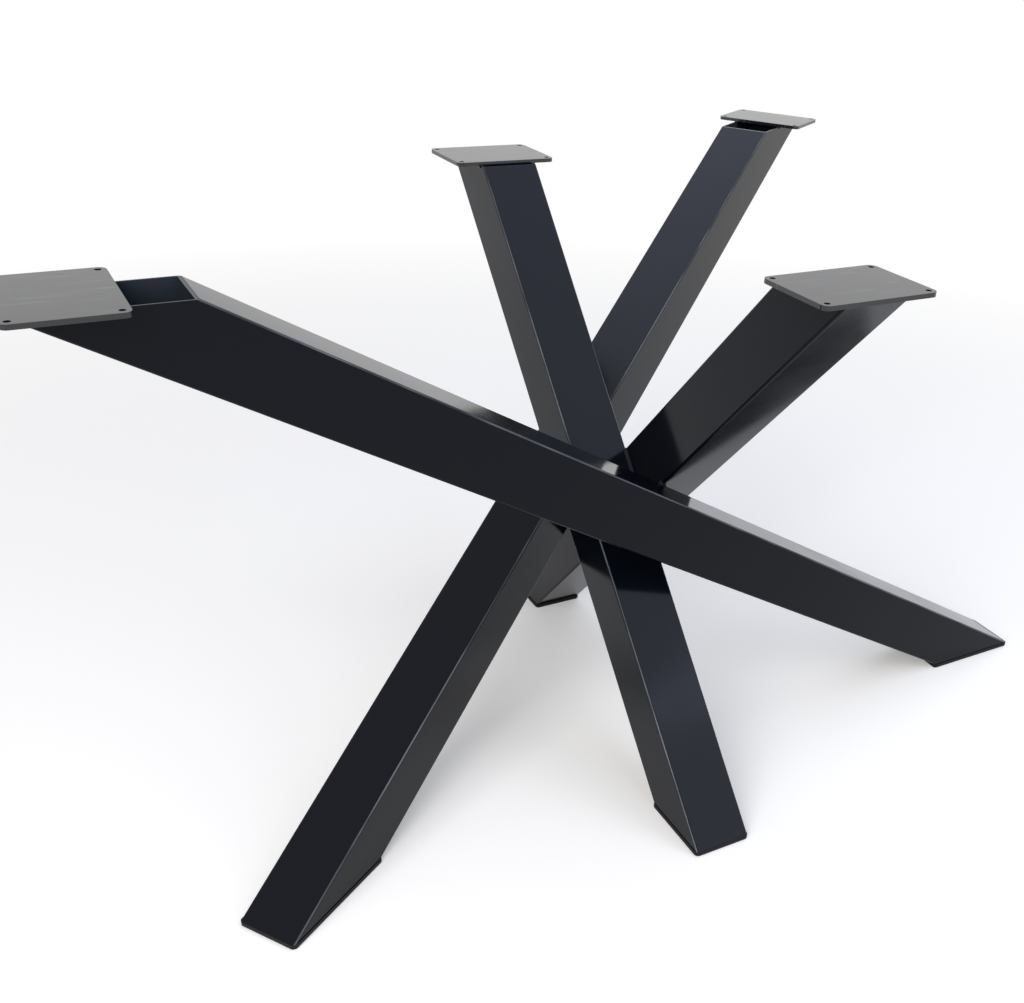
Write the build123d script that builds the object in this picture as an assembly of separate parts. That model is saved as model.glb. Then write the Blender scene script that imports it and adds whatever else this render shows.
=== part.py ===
"""Spider table base: four straight box tubes that cross near the middle, welded where they touch.

Two short tubes stand back to back as an X. A long tube lies in each side crook of that X.
Every tube is cut level at both ends. A flat plate with four screw holes is welded on each upper
end, and a moulded cap closes each lower end. All sizes are in millimetres, +Z is up.
"""
from build123d import *
from collections import namedtuple
from math import atan2, copysign, cos, hypot, radians, sin
import os

# Overall size
total_height = 720.0

# Box tube, the same for all four legs
tube_side = 80.0
tube_wall = 2.0
tube_corner = 3.0

# Plan length of each tube's centre line, from the floor to the underside of the plates
front_run = 1240.0
rear_run = 1310.0
short_run = 665.0

# Plan directions in degrees, clockwise from +Y, in which each tube comes down
front_heading = 90.0
rear_heading = 236.0
left_heading = 180.0
right_heading = 0.0

# Distance by which the two short tubes are shifted along each other
short_stagger = 20.0

# Gap left for the weld where two tubes touch on their edges
weld_gap = 0.3

# Top plate
plate_along = 105.0
plate_across = 145.0
plate_thickness = 5.0
plate_corner = 8.0
plate_lip = 6.0
hole_diameter = 6.5
hole_inset = 8.0

# Foot cap
sole_thickness = 7.0
sole_overhang = 1.0
sole_corner = 6.0
sole_edge = 1.5
spigot_height = 15.0
spigot_wall = 2.5
spigot_clearance = 0.3

# Weld beads
plate_bead_leg = 3.0
bead_edge = 0.5
edge_bead_radius = 5.0
pair_bead_leg = 1.5
pair_bead_root = 1.0
pair_bead_length = 50.0

# Sizes that follow from the ones above
cut_height = total_height - plate_thickness
BAR_LENGTH = 2.0 * hypot(max(front_run, rear_run, short_run), cut_height)
LAYER_WIDTH = 4.0 * BAR_LENGTH

# Direction from the front long tube across the short pair to the rear one
AWAY = Vector(0, 1, 0)

Leg = namedtuple("Leg", "name middle heading down side upper slope")


def leg(name, heading_degrees, run, middle=(0.0, 0.0)):
    """Centre line of a tube: its middle point, plan heading and the three axes of its section."""
    turn = radians(heading_degrees)
    slope = atan2(cut_height, run)
    heading = Vector(sin(turn), cos(turn), 0)
    side = Vector(-heading.Y, heading.X, 0)
    down = heading * cos(slope) + Vector(0, 0, -sin(slope))
    upper = heading * sin(slope) + Vector(0, 0, cos(slope))
    return Leg(name, Vector(*middle, cut_height / 2), heading, down, side, upper, slope)


def common_normal(one, other, toward):
    """Direction in which two crossing tubes are nearest, pointing from the first to the second."""
    normal = one.down.cross(other.down).normalized()
    return normal if normal.dot(toward) > 0 else -normal


def reach_along(one, normal):
    """How far the rounded square section of a tube reaches in a direction."""
    flat = tube_side / 2 - tube_corner
    return flat * (abs(normal.dot(one.side)) + abs(normal.dot(one.upper))) + tube_corner


def round_centre(one, normal):
    """Middle of the line through the centres of the rounded edge that lies farthest along normal."""
    flat = tube_side / 2 - tube_corner
    across = one.side * copysign(flat, normal.dot(one.side))
    return one.middle + across + one.upper * copysign(flat, normal.dot(one.upper))


def touching_point(one, other, toward):
    """Point midway between the two rounded edges where a seated tube touches its neighbour."""
    normal = common_normal(one, other, toward)
    start = round_centre(one, normal)
    finish = round_centre(other, -normal)
    square_on = other.down.cross(normal)
    along = (finish - start).dot(square_on) / one.down.dot(square_on)
    return start + one.down * along + normal * (tube_corner + weld_gap / 2)


def seated(one, neighbours, toward):
    """Moves a leg in plan until it touches both neighbours, which lie on the side named by toward."""
    rows = []
    for other in neighbours:
        normal = common_normal(one, other, toward)
        distance = reach_along(one, normal) + reach_along(other, normal) + weld_gap
        target = normal.dot(other.middle) - distance - normal.Z * cut_height / 2
        rows.append((normal.X, normal.Y, target))
    (a, b, c), (d, e, f) = rows
    whole = a * e - b * d
    x, y = (c * e - b * f) / whole, (a * f - c * d) / whole
    return one._replace(middle=Vector(x, y, cut_height / 2))


def slab(low, high):
    """A level layer of space that is wider than the whole base."""
    layer = Box(LAYER_WIDTH, LAYER_WIDTH, high - low, align=(Align.CENTER, Align.CENTER, Align.MIN))
    return Pos(0, 0, low) * layer


def prism(one, side_length, corner):
    """A rounded square bar along a leg, longer than the leg at both ends."""
    start = one.middle - one.down * (BAR_LENGTH / 2)
    plane = Plane(origin=start, x_dir=one.side, z_dir=one.down)
    return extrude(plane * RectangleRounded(side_length, side_length, corner), amount=BAR_LENGTH)


def outer_bar(one):
    """The solid bar that fills the outside of a tube."""
    return prism(one, tube_side, tube_corner)


def box_tube(one):
    """Hollow box tube cut level just above the sole and at the underside of the plate."""
    bore = prism(one, tube_side - 2 * tube_wall, tube_corner - tube_wall)
    return (outer_bar(one) - bore) & slab(sole_thickness, cut_height)


def centre_at(one, height):
    """Point of a leg's centre line at a height."""
    return one.middle + one.down * ((cut_height / 2 - height) / sin(one.slope))


def level_plane(one, height, shift=0.0):
    """Level plane over the centre line, moved along the heading, with its X axis along it."""
    centre = centre_at(one, height) + one.heading * shift
    return Plane(origin=(centre.X, centre.Y, height), x_dir=one.heading, z_dir=(0, 0, 1))


def cut_length(one):
    """Length of a tube's level cut along its heading."""
    return tube_side / sin(one.slope)


def level_outline(one, height, grow, corner):
    """Rounded rectangle over the tube's level cut at a height, wider by grow on every side."""
    outline = RectangleRounded(cut_length(one) + 2 * grow, tube_side + 2 * grow, corner)
    return level_plane(one, height) * outline


def plate_plane(one):
    """Level plane centred on the underside of a leg's plate."""
    shift = (plate_along - cut_length(one)) / 2 - plate_lip
    return level_plane(one, cut_height, shift)


def top_plate(one):
    """Flat plate with rounded corners and a screw hole near each corner."""
    outline = RectangleRounded(plate_along, plate_across, plate_corner)
    pitch = (plate_along - 2 * hole_inset, plate_across - 2 * hole_inset)
    holes = GridLocations(*pitch, 2, 2) * Circle(hole_diameter / 2)
    return extrude(plate_plane(one) * (outline - holes), amount=plate_thickness)


def foot_cap(one):
    """Moulded cap: a flat sole under the cut end and a hollow spigot that plugs into the tube."""
    outline = level_outline(one, sole_thickness, sole_overhang, sole_corner)
    sole = extrude(outline, amount=-sole_thickness)
    sole = chamfer(sole.edges().group_by(Axis.Z)[0], sole_edge)
    plug_side = tube_side - 2 * tube_wall - 2 * spigot_clearance
    plug_corner = tube_corner - tube_wall
    plug = prism(one, plug_side, plug_corner)
    hollow = prism(one, plug_side - 2 * spigot_wall, plug_corner)
    spigot = (plug - hollow) & slab(sole_thickness, sole_thickness + spigot_height)
    return sole + spigot


def plate_weld(one):
    """Fillet bead round the upper end of a tube, only where the plate covers it."""
    wide = level_outline(one, cut_height, plate_bead_leg, tube_corner + plate_bead_leg)
    narrow = level_outline(one, cut_height - plate_bead_leg, bead_edge, tube_corner + bead_edge)
    cover = extrude(plate_plane(one) * Rectangle(plate_along, plate_across), amount=-plate_bead_leg)
    return (loft([narrow, wide]) & cover) - outer_bar(one)


def crossing_weld(one, other, toward):
    """Round bead that fills the gap between two tubes about the point where their edges touch."""
    normal = common_normal(one, other, toward)
    plane = Plane(origin=touching_point(one, other, toward), z_dir=normal)
    bead = plane * Cylinder(edge_bead_radius, 2 * edge_bead_radius)
    return bead - outer_bar(one) - outer_bar(other)


def pair_weld(one, other, face):
    """Bead in the groove between one face of a short tube and the side of the other short tube."""
    inward = (other.middle - one.middle).dot(one.side)
    groove = one.side * copysign(tube_side / 2, inward)
    start = one.middle + groove - one.down * (pair_bead_length / 2)
    across = one.side * copysign(1, -inward)
    plane = Plane(origin=start, x_dir=across, z_dir=one.down)
    rise = copysign(1, plane.y_dir.dot(one.upper) * face)
    surface = tube_side / 2
    corners = [
        (0, rise * (surface + pair_bead_leg)),
        (tube_corner + pair_bead_leg, rise * surface),
        (0, rise * (surface - tube_corner + pair_bead_root)),
    ]
    section = plane * Polygon(*corners, align=None)
    return extrude(section, amount=pair_bead_length, dir=one.down) - outer_bar(one)


def legs():
    """The four legs in the frame of the short pair: front, rear, left, right."""
    left = leg("short_left", left_heading, short_run, (-tube_side / 2, short_stagger / 2))
    right = leg("short_right", right_heading, short_run, (tube_side / 2, -short_stagger / 2))
    front = seated(leg("long_front", front_heading, front_run), (left, right), AWAY)
    rear = seated(leg("long_rear", rear_heading, rear_run), (left, right), -AWAY)
    return front, rear, left, right


def build():
    """All pieces by name, in the frame of the short pair."""
    front, rear, left, right = legs()
    pieces = {}
    for one in (front, rear, left, right):
        pieces["tube_" + one.name] = box_tube(one)
        pieces["top_plate_" + one.name] = top_plate(one)
        pieces["foot_cap_" + one.name] = foot_cap(one)
        pieces["plate_weld_" + one.name] = plate_weld(one)
    for one, seat, toward in ((front, "front", AWAY), (rear, "rear", -AWAY)):
        pieces["crossing_weld_" + seat + "_left"] = crossing_weld(one, left, toward)
        pieces["crossing_weld_" + seat + "_right"] = crossing_weld(one, right, toward)
    for one, other in ((left, right), (right, left)):
        pieces["pair_weld_" + one.name + "_upper"] = pair_weld(one, other, 1)
        pieces["pair_weld_" + one.name + "_lower"] = pair_weld(one, other, -1)
    return pieces


if __name__ == "__main__":
    os.makedirs("parts", exist_ok=True)
    pieces = build()
    boxes = [piece.bounding_box() for piece in pieces.values()]
    middle_x = (min(box.min.X for box in boxes) + max(box.max.X for box in boxes)) / 2
    middle_y = (min(box.min.Y for box in boxes) + max(box.max.Y for box in boxes)) / 2
    for name, piece in pieces.items():
        export_step(Pos(-middle_x, -middle_y, 0) * piece, f"parts/{name}.step")
        print(name, round(piece.volume), len(piece.solids()))
    print("origin is at", round(middle_x, 3), round(middle_y, 3))
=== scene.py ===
# %% [markdown]
# A spider table base in black powder-coated steel.
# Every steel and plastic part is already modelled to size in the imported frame. The object is hard and
# plain, so no piece is remade here. The script gives each part its finish, because fine wear and ripple
# are far cheaper in a material than in the mesh, and then sets up the floor, the lights and the camera.

# %% Load the frame
import math

import bpy
from mathutils import Matrix, Vector

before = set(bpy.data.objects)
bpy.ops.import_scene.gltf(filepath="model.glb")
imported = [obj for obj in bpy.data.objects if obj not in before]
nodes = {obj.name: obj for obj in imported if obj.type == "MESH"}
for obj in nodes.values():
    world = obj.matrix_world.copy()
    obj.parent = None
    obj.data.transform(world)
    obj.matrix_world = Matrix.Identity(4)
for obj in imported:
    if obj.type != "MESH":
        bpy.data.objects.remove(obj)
bpy.ops.object.select_all(action="DESELECT")
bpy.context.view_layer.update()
MM = 0.001

# %% [markdown]
# Colours are given as sRGB hex values, as any paint program shows them. Shaders work in linear
# light, so one function turns the one into the other. A second function adds a node with its settings
# and links, so that each call reads as one step of a finish.

# %% Colour and node helpers
def linear(hex_colour):
    """An sRGB hex colour as linear red, green, blue and a full alpha."""
    values = [int(hex_colour[i:i + 2], 16) / 255 for i in (1, 3, 5)]
    return [v / 12.92 if v <= 0.04045 else ((v + 0.055) / 1.055) ** 2.4 for v in values] + [1.0]


def add_node(tree, kind, settings=None, **inputs):
    """Adds a node. settings are its own properties. An input goes by its name, or by its place after an
    underscore where two share a name. It takes a value, a socket, or a node for its first output."""
    node = tree.nodes.new(kind)
    for name, value in (settings or {}).items():
        setattr(node, name, value)
    in_use = [socket for socket in node.inputs if socket.enabled]
    for name, value in inputs.items():
        if name[1:].isdigit():
            socket = in_use[int(name[1:])]
        else:
            socket = next(s for s in in_use if s.name == name.replace("_", " "))
        if isinstance(value, bpy.types.Node):
            value = next(output for output in value.outputs if output.enabled)
        if isinstance(value, bpy.types.NodeSocket):
            tree.links.new(value, socket)
        else:
            socket.default_value = value
    return node


def new_material(name):
    """A material and its node tree, emptied so that every node in it is made here."""
    material = bpy.data.materials.new(name)
    material.use_nodes = True
    material.node_tree.nodes.clear()
    return material, material.node_tree


WHITE = linear("#ffffff")
print("linear value of a middle grey", round(linear("#808080")[0], 3))

# %% [markdown]
# The finish is a satin black powder coat. The powder is sprayed on dry and melts to a thick polyester
# film. Its rounded corners that look up get a painted highlight, a paler line that stands for the light
# they catch. The inner walls near the open ends get a paler painted tone that stands for the light that
# reaches into the hollow. Both could be painted on by hand. Masks worked out in the shader follow any
# tube. The corners are where the mesh's normal leans halfway between two faces, and a noise breaks
# their line up. The inner walls are what lies nearer to the tube's centre line than its outside does.
# Each tube slopes its own way, so its directions are measured on its own mesh.

# %% Directions of the tubes
CUT_TOLERANCE = 0.5 * MM


def end_centre(points, height):
    """Middle of a tube's level cut at a height."""
    ring = [point for point in points if abs(point.z - height) < CUT_TOLERANCE]
    return Vector([(min(p[i] for p in ring) + max(p[i] for p in ring)) / 2 for i in range(3)])


def tube_section(node):
    """The two directions square to a sloping tube's faces, one of them level, and its middle point."""
    points = [vertex.co for vertex in node.data.vertices]
    low, high = (end_centre(points, end(point.z for point in points)) for end in (min, max))
    along = (low - high).normalized()
    side = along.cross(Vector((0, 0, 1))).normalized()
    return side, side.cross(along), (low + high) / 2


sections = {name: tube_section(node) for name, node in nodes.items() if name.startswith("tube_")}
print("tubes measured", len(sections))

# %% Masks for painted corner highlights and painted light on inner walls
TUBE_SIDE, TUBE_WALL = 80 * MM, 2 * MM
# The middle of the wall, between the inner wall and the outside.
INNER_LIMIT = (TUBE_SIDE - TUBE_WALL) / 2
CORNER_PATCH = 90 * MM
# The normal's two parts across the tube, multiplied, are 0 on a flat and 0.5 on the middle of a corner.
CORNER_START, CORNER_FULL = 0.3, 0.48
# The normal's upward part runs from -1, straight down, to 1.
UPWARD_START, UPWARD_FULL = -0.1, 0.3
# A noise breaks up the painted corner highlight and always leaves at least a quarter of it.
BREAKUP_START, BREAKUP_FULL, LEAST_HIGHLIGHT = 0.35, 0.6, 0.25


def reach_along(tree, vector, axis, start=0.0):
    """How far a vector reaches along an axis on either side of a start."""
    whole = add_node(tree, "ShaderNodeVectorMath", {"operation": "DOT_PRODUCT"}, _0=vector, _1=axis)
    rest = add_node(tree, "ShaderNodeMath", {"operation": "SUBTRACT"}, _0=whole, _1=start)
    return add_node(tree, "ShaderNodeMath", {"operation": "ABSOLUTE"}, _0=rest)


def inner_light_share(tree, section, place):
    """One on the inner walls of a tube, where a paler tone is painted as light reaching into the hollow,
    and zero outside.
    """
    side, upper, middle = section
    sideways = reach_along(tree, place, side, middle.dot(side))
    upwards = reach_along(tree, place, upper, middle.dot(upper))
    reach = add_node(tree, "ShaderNodeMath", {"operation": "MAXIMUM"}, _0=sideways, _1=upwards)
    return add_node(tree, "ShaderNodeMath", {"operation": "LESS_THAN"}, _0=reach, _1=INNER_LIMIT)


def corner_highlight_share(tree, section, place):
    """One on the upward corners of a tube, where a highlight is painted, and zero on its flats, fading
    in and out along the tube.
    """
    normal = add_node(tree, "ShaderNodeTexCoord").outputs["Normal"]
    sideways, upwards = (reach_along(tree, normal, axis) for axis in section[:2])
    lean = add_node(tree, "ShaderNodeMath", {"operation": "MULTIPLY"}, _0=sideways, _1=upwards)
    corner = add_node(tree, "ShaderNodeMapRange", Value=lean, From_Min=CORNER_START,
                      From_Max=CORNER_FULL)
    height = add_node(tree, "ShaderNodeSeparateXYZ", Vector=normal).outputs["Z"]
    upward = add_node(tree, "ShaderNodeMapRange", Value=height, From_Min=UPWARD_START,
                      From_Max=UPWARD_FULL)
    patch = add_node(tree, "ShaderNodeTexNoise", Vector=place, Scale=1 / CORNER_PATCH, Detail=2.0)
    broken_up = add_node(tree, "ShaderNodeMapRange", Value=patch, From_Min=BREAKUP_START, From_Max=BREAKUP_FULL,
                    To_Min=LEAST_HIGHLIGHT, To_Max=1.0)
    seen = add_node(tree, "ShaderNodeMath", {"operation": "MULTIPLY"}, _0=corner, _1=upward)
    return add_node(tree, "ShaderNodeMath", {"operation": "MULTIPLY"}, _0=seen, _1=broken_up)


print("corner mask from", CORNER_START, "to", CORNER_FULL, "inner walls within", INNER_LIMIT)

# %% [markdown]
# The film has a faint orange-peel ripple, fine specks of dust and a gloss that wanders a little, so it
# mirrors softly and stays nearly black where it mirrors nothing. It is a plastic, so its metallic value
# is zero. The ripple of the real film is about a millimetre across and its dust a tenth of that, too
# fine to show here, so they are drawn at three and at a little over one. The screw plates are handled
# more than the rest and carry fine scuffs in one main direction, a noise stretched along it.

# %% Powder coat
RIPPLE, RIPPLE_STRENGTH = 3.0 * MM, 0.12
SPECK, SPECK_START, SPECK_FULL, SPECK_STRENGTH = 1.2 * MM, 0.62, 0.78, 0.25
CLOUD, CLOUD_LOW, CLOUD_HIGH = 180 * MM, 0.3, 0.7
SMOOTHER, ROUGHER = 0.04, 0.05
# Painted highlight colour for the upward corners, and a paler painted tone for light on the inner walls.
CORNER_HIGHLIGHT, INNER_WALL_LIGHT = "#66676a", "#33383e"
SCUFF_LENGTH, SCUFF_WIDTH = 70 * MM, 6 * MM
SCUFF_TURN = 0.6  # radians
SCUFF_START, SCUFF_FULL = 0.6, 0.68


def scuff_share(tree, place, strength):
    """Thin marks along one direction of a level face."""
    stretch = add_node(tree, "ShaderNodeMapping", Vector=place, Rotation=(0, 0, SCUFF_TURN),
                       Scale=(1 / SCUFF_LENGTH, 1 / SCUFF_WIDTH, 1 / SCUFF_LENGTH))
    lines = add_node(tree, "ShaderNodeTexNoise", Vector=stretch, Scale=1.0, Detail=4.0, Roughness=0.6)
    return add_node(tree, "ShaderNodeMapRange", Value=lines, From_Min=SCUFF_START,
                    From_Max=SCUFF_FULL, To_Max=strength)


def powder_coat(name, colour, pale, roughness, ior, ripple_height, scuffs=0.0, section=None):
    """Satin powder coat. colour is the film, pale the tone of its fine dust and scuffs. section is that
    of a tube, whose upward corners get a painted highlight and whose inner walls a paler painted tone
    for the light inside."""
    material, tree = new_material(name)
    place = add_node(tree, "ShaderNodeTexCoord").outputs["Object"]
    cloud = add_node(tree, "ShaderNodeTexNoise", Vector=place, Scale=1 / CLOUD, Detail=3.0,
                     Roughness=0.55)
    gloss = add_node(tree, "ShaderNodeMapRange", Value=cloud, From_Min=CLOUD_LOW,
                     From_Max=CLOUD_HIGH, To_Min=roughness - SMOOTHER, To_Max=roughness + ROUGHER)
    ripple = add_node(tree, "ShaderNodeTexNoise", Vector=place, Scale=1 / RIPPLE, Detail=1.0)
    bump = add_node(tree, "ShaderNodeBump", Height=ripple, Strength=RIPPLE_STRENGTH,
                    Distance=ripple_height)
    dust = add_node(tree, "ShaderNodeTexNoise", Vector=place, Scale=1 / SPECK, Detail=2.0,
                    Roughness=0.7)
    specks = add_node(tree, "ShaderNodeMapRange", Value=dust, From_Min=SPECK_START,
                      From_Max=SPECK_FULL, To_Max=SPECK_STRENGTH)
    layers = [(specks, pale)]
    if section:
        # Painted highlight on the upward corners.
        layers.append((corner_highlight_share(tree, section, place), CORNER_HIGHLIGHT))
        # Paler painted tone on the inner walls, for the light that reaches in.
        layers.append((inner_light_share(tree, section, place), INNER_WALL_LIGHT))
    if scuffs:
        layers.append((scuff_share(tree, place, scuffs), pale))
    tone = linear(colour)
    for share, layer in layers:
        tone = add_node(tree, "ShaderNodeMix", {"data_type": "RGBA"}, Factor=share, A=tone,
                        B=linear(layer))
    shader = add_node(tree, "ShaderNodeBsdfPrincipled", Base_Color=tone, Roughness=gloss, IOR=ior,
                      Normal=bump)
    add_node(tree, "ShaderNodeOutputMaterial", Surface=shader)
    return material


print("ripple", RIPPLE, "specks", SPECK, "clouds", CLOUD, "scuffs", SCUFF_LENGTH, "by", SCUFF_WIDTH)

# %% [markdown]
# Polyester has an IOR of 1.5 and a satin coat a roughness of about 0.3. On the tubes both were lowered
# until their faces were as dark as in the photo, and on the plates the IOR was raised a little, because
# they lie flat and mirror the most light. A weld bead keeps its own coarser ripples under the coat.

# %% Coats of tubes, plates and weld beads
tube_coats = {
    name: powder_coat("powder_coated_mild_steel_" + name, colour="#080c13", pale="#26272a",
                      roughness=0.12, ior=1.23, ripple_height=0.12 * MM, section=section)
    for name, section in sections.items()
}
plate_coat = powder_coat("powder_coated_mild_steel_plate", colour="#191a1d", pale="#707072",
                         roughness=0.13, ior=1.6, ripple_height=0.12 * MM, scuffs=0.32)
weld_coat = powder_coat("powder_coated_weld_bead", colour="#0a0b0d", pale="#1e1f21",
                        roughness=0.3, ior=1.25, ripple_height=0.6 * MM)
print("steel finishes", len(tube_coats), plate_coat.name, weld_coat.name)

# %% [markdown]
# The caps in the lower ends are injection moulded polyethylene, matt from a spark-eroded mould. The real
# grain is about half a millimetre across and is drawn at one and a half, so that it shows. Grain and
# gloss come from one noise, as on the moulding, where the pits are what makes it matt. Polyethylene has
# an IOR of 1.5, lowered here until the caps were as black as in the photo.

# %% Moulded plastic feet
GRAIN, GRAIN_DEPTH, GRAIN_STRENGTH = 1.5 * MM, 0.2 * MM, 0.25
SMOOTHEST, ROUGHEST = 0.5, 0.66


def moulded_plastic(name, colour):
    """Matt moulded plastic with a fine eroded grain."""
    material, tree = new_material(name)
    place = add_node(tree, "ShaderNodeTexCoord").outputs["Object"]
    grain = add_node(tree, "ShaderNodeTexNoise", Vector=place, Scale=1 / GRAIN, Detail=3.0)
    gloss = add_node(tree, "ShaderNodeMapRange", Value=grain, To_Min=SMOOTHEST, To_Max=ROUGHEST)
    bump = add_node(tree, "ShaderNodeBump", Height=grain, Strength=GRAIN_STRENGTH,
                    Distance=GRAIN_DEPTH)
    shader = add_node(tree, "ShaderNodeBsdfPrincipled", Base_Color=linear(colour), Roughness=gloss,
                      IOR=1.3, Normal=bump)
    add_node(tree, "ShaderNodeOutputMaterial", Surface=shader)
    return material


foot_plastic = moulded_plastic("moulded_polyethylene_cap", "#08080a")
print("plastic finish", foot_plastic.name)

# %% [markdown]
# Each part's name starts with what it is, so the finish is picked by the start of the name. Nothing is
# added to the meshes, which are already as detailed as the real parts.

# %% Finishes onto the parts
FINISHES = {**tube_coats, "top_plate": plate_coat, "foot_cap": foot_plastic,
            "plate_weld": weld_coat, "crossing_weld": weld_coat, "pair_weld": weld_coat}
for name, node in nodes.items():
    finish = next(FINISHES[key] for key in FINISHES if name.startswith(key))
    node.data.materials.clear()
    node.data.materials.append(finish)
print("finished", len(nodes), "nodes")

# %% [markdown]
# The floor is a wide pale disc of white paper with the soft shadow of the base on it. Far out it only
# glows, for the camera and in reflections, so that floor and background meet with no edge. The white of
# the background comes from these surfaces and not from more light on the base.

# %% Floor
FLOOR_RADIUS = 60.0
PAPER = "#f8f0e3"
NEAR_GLOW = 0.24
GLOW_START, GLOW_FULL = 0.9, 2.6


def paper_rays(tree):
    """One for the rays that show the background: straight from the camera, mirrored or through glass."""
    rays = add_node(tree, "ShaderNodeLightPath").outputs
    shown = add_node(tree, "ShaderNodeMath", {"operation": "MAXIMUM"}, _0=rays["Is Camera Ray"],
                     _1=rays["Is Glossy Ray"])
    return add_node(tree, "ShaderNodeMath", {"operation": "MAXIMUM"}, _0=shown,
                    _1=rays["Is Transmission Ray"])


bpy.ops.mesh.primitive_circle_add(vertices=64, radius=FLOOR_RADIUS, fill_type="NGON",
                                  location=(0, 0, 0))
floor = bpy.context.object
floor.name = "floor"
paper, tree = new_material("white_paper_floor")
place = add_node(tree, "ShaderNodeTexCoord").outputs["Object"]
distance = add_node(tree, "ShaderNodeVectorMath", {"operation": "LENGTH"}, _0=place)
far = add_node(tree, "ShaderNodeMapRange", Value=distance, From_Min=GLOW_START, From_Max=GLOW_FULL)
seen = paper_rays(tree)
matt = add_node(tree, "ShaderNodeBsdfDiffuse", Color=linear(PAPER))
glow = add_node(tree, "ShaderNodeEmission", Color=WHITE, Strength=1.0)
lift = add_node(tree, "ShaderNodeEmission", Color=WHITE, Strength=NEAR_GLOW)
lifted = add_node(tree, "ShaderNodeAddShader", _0=matt, _1=lift)
near = add_node(tree, "ShaderNodeMixShader", _0=seen, _1=matt, _2=lifted)
far_seen = add_node(tree, "ShaderNodeMath", {"operation": "MULTIPLY"}, _0=far, _1=seen)
whole = add_node(tree, "ShaderNodeMixShader", _0=far_seen, _1=near, _2=glow)
add_node(tree, "ShaderNodeOutputMaterial", Surface=whole)
floor.data.materials.append(paper)
print("floor radius", FLOOR_RADIUS)

# %% [markdown]
# Above the horizon the background is the same white for the same rays. All other light from there is a
# weak bluish grey, as from the walls of a studio.

# %% Background
WALLS, WALL_LIGHT = "#eef1f6", 0.2

world = bpy.data.worlds.new("white_studio")
world.use_nodes = True
bpy.context.scene.world = world
tree = world.node_tree
tree.nodes.clear()
around = add_node(tree, "ShaderNodeBackground", Color=linear(WALLS), Strength=WALL_LIGHT)
white = add_node(tree, "ShaderNodeBackground", Color=WHITE, Strength=1.0)
background = add_node(tree, "ShaderNodeMixShader", _0=paper_rays(tree), _1=around, _2=white)
add_node(tree, "ShaderNodeOutputWorld", Surface=background)
print("background", world.name)

# %% [markdown]
# Satin black only shows what it mirrors, so the lamps are large soft panels placed where the faces
# mirror them towards the camera. The ceiling panel, bluish as an open sky, is what the upper faces show.
# The left panel lights the floor and the rounded corners, and the weak right one fills the sides.

# %% Lamps
def soft_panel(name, place, aim, size, power, colour):
    """A rectangular area lamp at a place, turned to face a point, all in metres and watts."""
    lamp = bpy.data.lights.new(name, "AREA")
    lamp.shape = "RECTANGLE"
    lamp.size, lamp.size_y = size
    lamp.energy = power
    lamp.color = linear(colour)[:3]
    panel = bpy.data.objects.new(name, lamp)
    bpy.context.scene.collection.objects.link(panel)
    panel.location = place
    panel.rotation_euler = (Vector(aim) - Vector(place)).to_track_quat("-Z", "Y").to_euler()


soft_panel("ceiling_panel", place=(1.45, -0.8, 3.6), aim=(1.45, -0.8, 0.0), size=(3.4, 6.6),
           power=120, colour="#ccdaf9")
soft_panel("right_panel", place=(2.9, -4.0, 2.5), aim=(0.1, -0.3, 0.3), size=(3.0, 2.4),
           power=45, colour="#dae3fb")
soft_panel("left_panel", place=(-2.9, -2.2, 2.5), aim=(0.0, 0.0, 0.2), size=(2.8, 2.8),
           power=150, colour="#edf2fc")

# %% [markdown]
# The camera stands in front of the base at the left, a little above it, and looks down. Its place and
# angles were fitted to the tubes' edges and outline, and its shift is that of the photo's framing.

# %% Camera
IMAGE_WIDTH, IMAGE_HEIGHT = 1024, 1003
FOCAL_PIXELS = 1144.6
AXIS_PIXEL_X, AXIS_PIXEL_Y = 613.8, 626.3
CAMERA_PLACE = Vector((-0.72062, -1.34370, 1.03901))
TURN, TILT, ROLL = (math.radians(angle) for angle in (31.119, 32.581, 3.509))
SENSOR_WIDTH = 36.0

ahead = Vector((math.sin(TURN) * math.cos(TILT), math.cos(TURN) * math.cos(TILT),
                -math.sin(TILT)))
level = Vector((math.cos(TURN), -math.sin(TURN), 0))
upright = level.cross(ahead)
right = level * math.cos(ROLL) + upright * math.sin(ROLL)
up = upright * math.cos(ROLL) - level * math.sin(ROLL)
camera_data = bpy.data.cameras.new("camera")
camera_data.sensor_fit = "HORIZONTAL"
camera_data.sensor_width = SENSOR_WIDTH
camera_data.lens = FOCAL_PIXELS / IMAGE_WIDTH * SENSOR_WIDTH
camera_data.shift_x = (IMAGE_WIDTH / 2 - AXIS_PIXEL_X) / IMAGE_WIDTH
camera_data.shift_y = (AXIS_PIXEL_Y - IMAGE_HEIGHT / 2) / IMAGE_WIDTH
camera = bpy.data.objects.new("camera", camera_data)
bpy.context.scene.collection.objects.link(camera)
axes = Matrix((right, up, -ahead)).transposed().to_4x4()
camera.matrix_world = Matrix.Translation(CAMERA_PLACE) @ axes
bpy.context.scene.camera = camera
bpy.context.scene.view_settings.view_transform = "Standard"
print("lens", round(camera_data.lens, 2), "shift", round(camera_data.shift_x, 3),
      round(camera_data.shift_y, 3))
